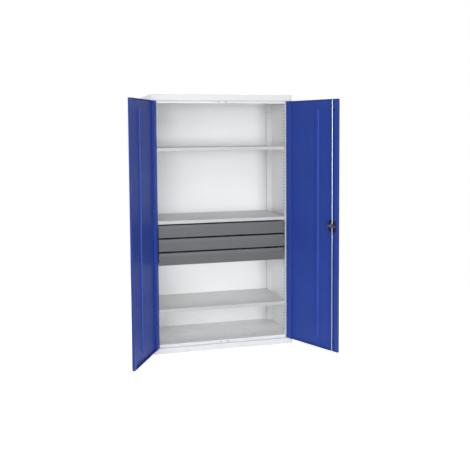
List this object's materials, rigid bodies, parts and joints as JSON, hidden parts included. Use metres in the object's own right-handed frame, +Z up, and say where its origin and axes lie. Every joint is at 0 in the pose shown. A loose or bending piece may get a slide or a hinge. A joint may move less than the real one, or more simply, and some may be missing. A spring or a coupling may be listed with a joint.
{
  "type": "tool cabinet with doors",
  "caption": "Tall sheet-steel tool cabinet with hinged doors standing open, adjustable shelves and full-width drawers on runners.",
  "frame": {"origin": "on the floor at the middle of the cabinet body's footprint", "axes": "+Z up, the doors face -Y, +X to the right as seen from the front"},
  "size_m": [1.5304, 1.0107, 1.95],
  "materials": {
    "cabinet_grey": "light grey fine-textured powder coat",
    "shelf_grey": "light grey powder coat",
    "door_blue": "mid blue fine-textured powder coat",
    "drawer_grey": "basalt grey powder coat",
    "zinc": "bright zinc plating",
    "chrome": "polished",
    "black_plastic": "matt black, lightly grained",
    "rubber": "soft light grey rubber"
  },
  "bodies": {
    "cabinet": {"side_panel_left": "cabinet_grey", "side_panel_right": "cabinet_grey", "front_jamb_left": "cabinet_grey", "front_jamb_right": "cabinet_grey", "header_rail": "cabinet_grey", "bottom_rail": "cabinet_grey", "top_panel": "cabinet_grey", "back_panel": "cabinet_grey", "floor_panel": "cabinet_grey", "floor_support": "cabinet_grey", "upright_front_left": "cabinet_grey", "upright_front_right": "cabinet_grey", "upright_rear_left": "cabinet_grey", "upright_rear_right": "cabinet_grey", "shelf_1": "shelf_grey", "shelf_2": "shelf_grey", "shelf_3": "shelf_grey", "shelf_clips": "zinc", "rail_carrier_left": "zinc", "rail_carrier_right": "zinc", "drawer_outer_rails": "zinc", "pivot_pins": "zinc", "rod_strikes": "cabinet_grey", "door_buffers": "rubber"},
    "door_left": {"door_left_panel": "door_blue", "door_left_stiffener": "door_blue", "door_left_pivot_blocks": "black_plastic", "door_left_stop_strip": "door_blue"},
    "door_right": {"door_right_panel": "door_blue", "door_right_stiffener": "door_blue", "door_right_pivot_blocks": "black_plastic", "rod_guides": "door_blue", "lock_case": "black_plastic", "lock_shield": "black_plastic", "handle_plate": "black_plastic"},
    "lock": {"handle": "black_plastic", "lock_cam": "zinc"},
    "key": {"key_plug": "chrome"},
    "upper_rod": {"rod_upper": "zinc"},
    "lower_rod": {"rod_lower": "zinc"},
    "drawer_1": {"drawer_1_front": "drawer_grey", "drawer_1_tray": "drawer_grey", "drawer_1_inner_rails": "zinc"},
    "drawer_1_runner": {"drawer_1_middle_rails": "zinc"},
    "drawer_2": {"drawer_2_front": "drawer_grey", "drawer_2_tray": "drawer_grey", "drawer_2_inner_rails": "zinc"},
    "drawer_2_runner": {"drawer_2_middle_rails": "zinc"},
    "drawer_3": {"drawer_3_front": "drawer_grey", "drawer_3_tray": "drawer_grey", "drawer_3_inner_rails": "zinc"},
    "drawer_3_runner": {"drawer_3_middle_rails": "zinc"}
  },
  "joints": [
    {"name": "door_left_hinge", "type": "hinge", "parent": "cabinet", "child": "door_left", "pos_m": [-0.522, -0.2615, 0], "axis": [0, 0, -1], "range_deg": [-117.5, 4.5]},
    {"name": "door_right_hinge", "type": "hinge", "parent": "cabinet", "child": "door_right", "pos_m": [0.522, -0.2615, 0], "axis": [0, 0, 1], "range_deg": [-115, 7]},
    {"name": "handle_turn", "type": "hinge", "parent": "door_right", "child": "lock", "pos_m": [0.71767, -0.68112, 0.977], "axis": [-0.9063, -0.4226, 0], "range_deg": [-90, 0]},
    {"name": "upper_rod_slide", "type": "slide", "parent": "door_right", "child": "upper_rod", "axis": [0, 0, 1], "range_m": [0, 0.0198]},
    {"name": "lower_rod_slide", "type": "slide", "parent": "door_right", "child": "lower_rod", "axis": [0, 0, -1], "range_m": [0, 0.0198]},
    {"name": "key_turn", "type": "hinge", "parent": "door_right", "child": "key", "pos_m": [0.71767, -0.68112, 0.917], "axis": [-0.9063, -0.4226, 0], "range_deg": [-90, 0]},
    {"name": "drawer_1_slide", "type": "slide", "parent": "cabinet", "child": "drawer_1", "axis": [0, -1, 0], "range_m": [0, 0.35]},
    {"name": "drawer_1_runner_slide", "type": "slide", "parent": "cabinet", "child": "drawer_1_runner", "axis": [0, -1, 0], "range_m": [0, 0.175]},
    {"name": "drawer_2_slide", "type": "slide", "parent": "cabinet", "child": "drawer_2", "axis": [0, -1, 0], "range_m": [0, 0.35]},
    {"name": "drawer_2_runner_slide", "type": "slide", "parent": "cabinet", "child": "drawer_2_runner", "axis": [0, -1, 0], "range_m": [0, 0.175]},
    {"name": "drawer_3_slide", "type": "slide", "parent": "cabinet", "child": "drawer_3", "axis": [0, -1, 0], "range_m": [0, 0.35]},
    {"name": "drawer_3_runner_slide", "type": "slide", "parent": "cabinet", "child": "drawer_3_runner", "axis": [0, -1, 0], "range_m": [0, 0.175]}
  ],
  "couplings": [
    {"joint": "handle_turn", "follows": "upper_rod_slide", "rad_per_m": -79.333},
    {"joint": "lower_rod_slide", "follows": "upper_rod_slide", "ratio": 1},
    {"joint": "drawer_1_runner_slide", "follows": "drawer_1_slide", "ratio": 0.5},
    {"joint": "drawer_2_runner_slide", "follows": "drawer_2_slide", "ratio": 0.5},
    {"joint": "drawer_3_runner_slide", "follows": "drawer_3_slide", "ratio": 0.5}
  ]
}
